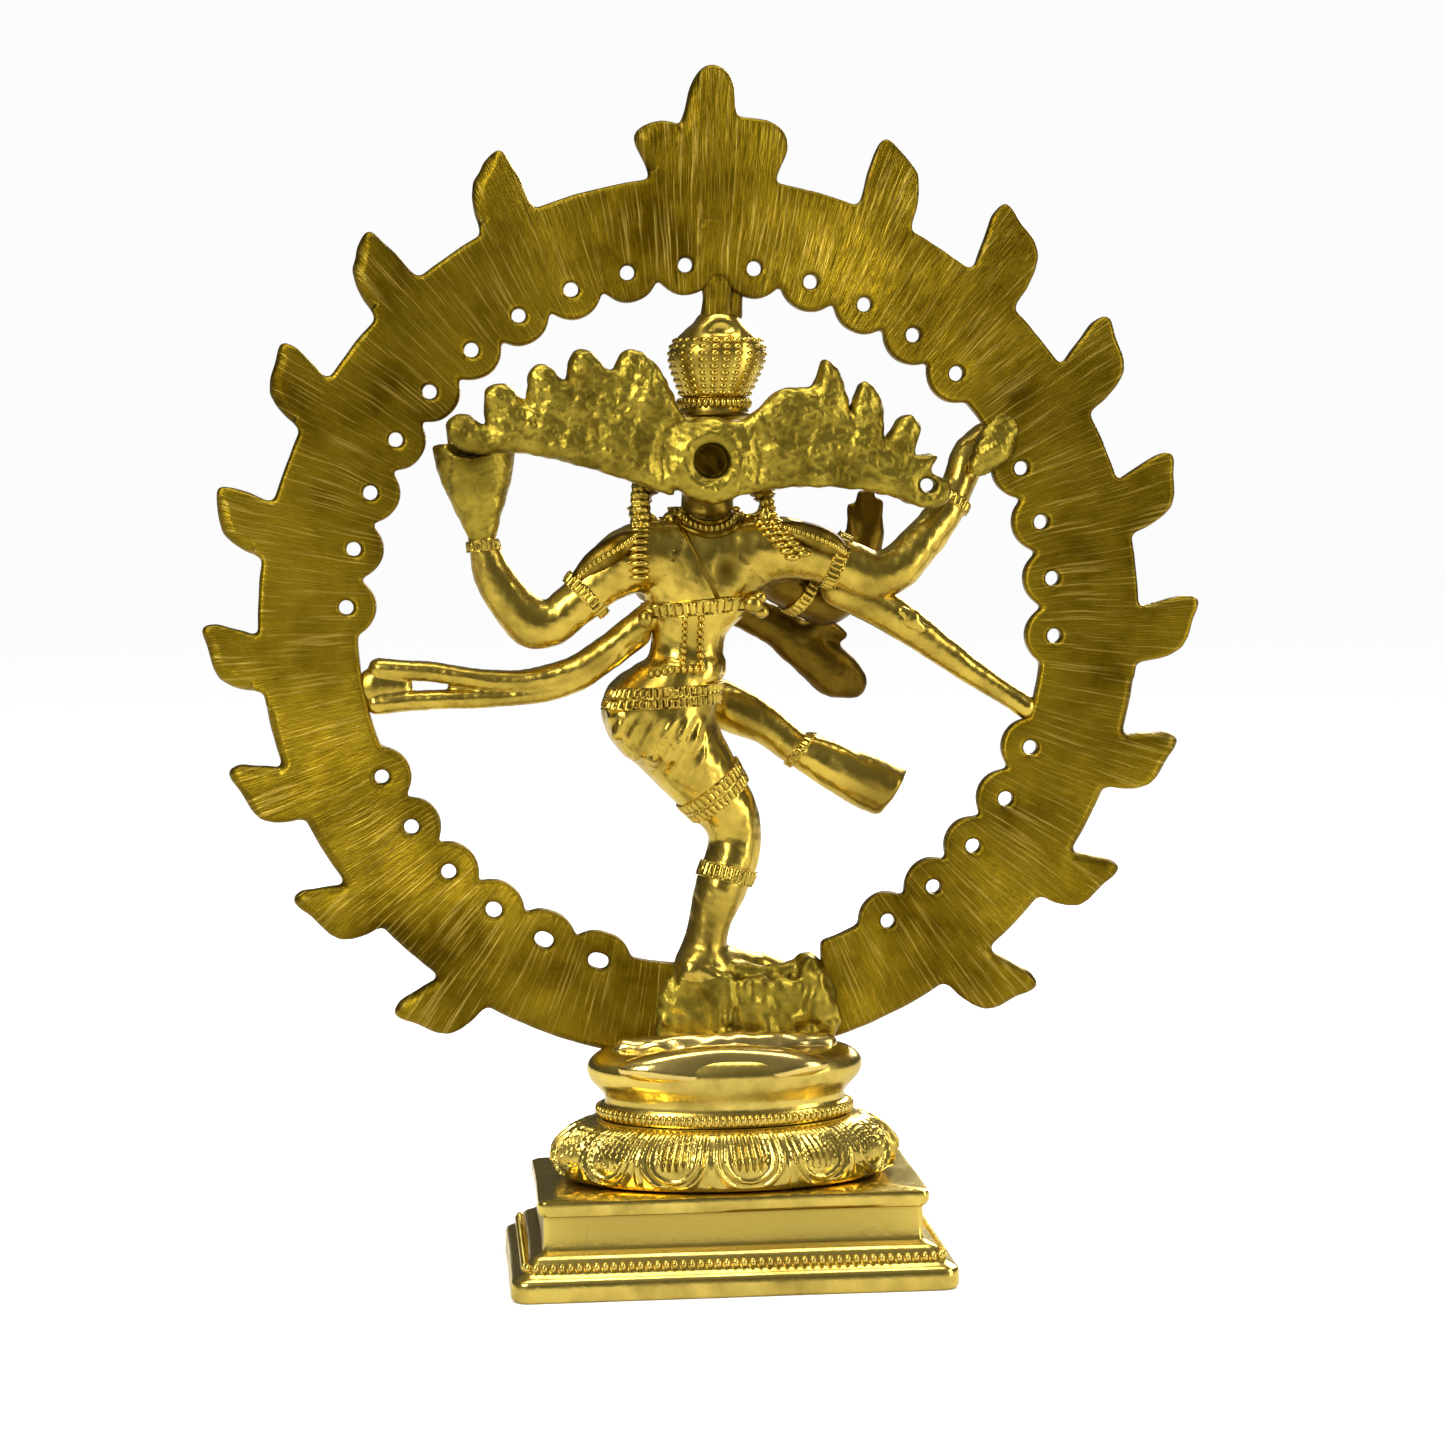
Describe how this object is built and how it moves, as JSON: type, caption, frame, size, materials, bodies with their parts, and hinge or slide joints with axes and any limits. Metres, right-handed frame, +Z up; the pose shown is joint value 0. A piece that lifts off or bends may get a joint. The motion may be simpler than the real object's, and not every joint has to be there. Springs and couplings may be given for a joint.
{
  "type": "nataraja statue",
  "caption": "Cast brass dancing figure with raised leg and flying hair inside an upright ring of flames, brazed to a lotus pedestal on a stepped plinth.",
  "frame": {"origin": "middle of the plinth's underside", "axes": "+Z up; the figure faces -Y, so the filed back of the arch faces +Y; the figure's own right hand is on the -X side"},
  "size_m": [0.1676, 0.0467, 0.2009],
  "materials": {
    "polished_brass": "buffed bright brass with brown tarnish in the recesses",
    "filed_brass": "flat brass with coarse file scratches",
    "rough_cast_brass": "grainy as-cast brass, only lightly brushed",
    "braze_metal": "bright filed brazing"
  },
  "bodies": {
    "root": {"arch_clasp": "filed_brass", "braze_bar": "braze_metal", "chest_band": "polished_brass", "crown": "polished_brass", "crown_band": "polished_brass", "crown_strut": "polished_brass", "damaru": "rough_cast_brass", "dwarf": "rough_cast_brass", "fire_bowl": "rough_cast_brass", "fire_flame": "rough_cast_brass", "flame_arch": "filed_brass", "front_left_arm": "polished_brass", "front_left_armlet": "polished_brass", "front_right_arm": "polished_brass", "front_right_armlet": "polished_brass", "front_right_bracelet": "polished_brass", "hair_fan": "rough_cast_brass", "head": "polished_brass", "left_ear_tassel": "polished_brass", "left_sash": "polished_brass", "lotus_pedestal": "polished_brass", "necklace": "polished_brass", "pedestal_bead_ring": "polished_brass", "plinth": "polished_brass", "raised_anklet": "polished_brass", "raised_leg": "polished_brass", "rear_left_arm": "polished_brass", "rear_left_armlet": "polished_brass", "rear_left_bracelet": "polished_brass", "rear_right_arm": "polished_brass", "rear_right_armlet": "polished_brass", "rear_right_bracelet": "polished_brass", "right_ear_tassel": "polished_brass", "right_sash": "polished_brass", "sacred_thread": "polished_brass", "sash_knot": "polished_brass", "seat": "polished_brass", "shin_bell_band": "polished_brass", "standing_leg": "polished_brass", "thigh_band": "polished_brass", "torso": "polished_brass", "waist_belt": "polished_brass", "waist_cloth": "polished_brass"}
  },
  "joints": []
}
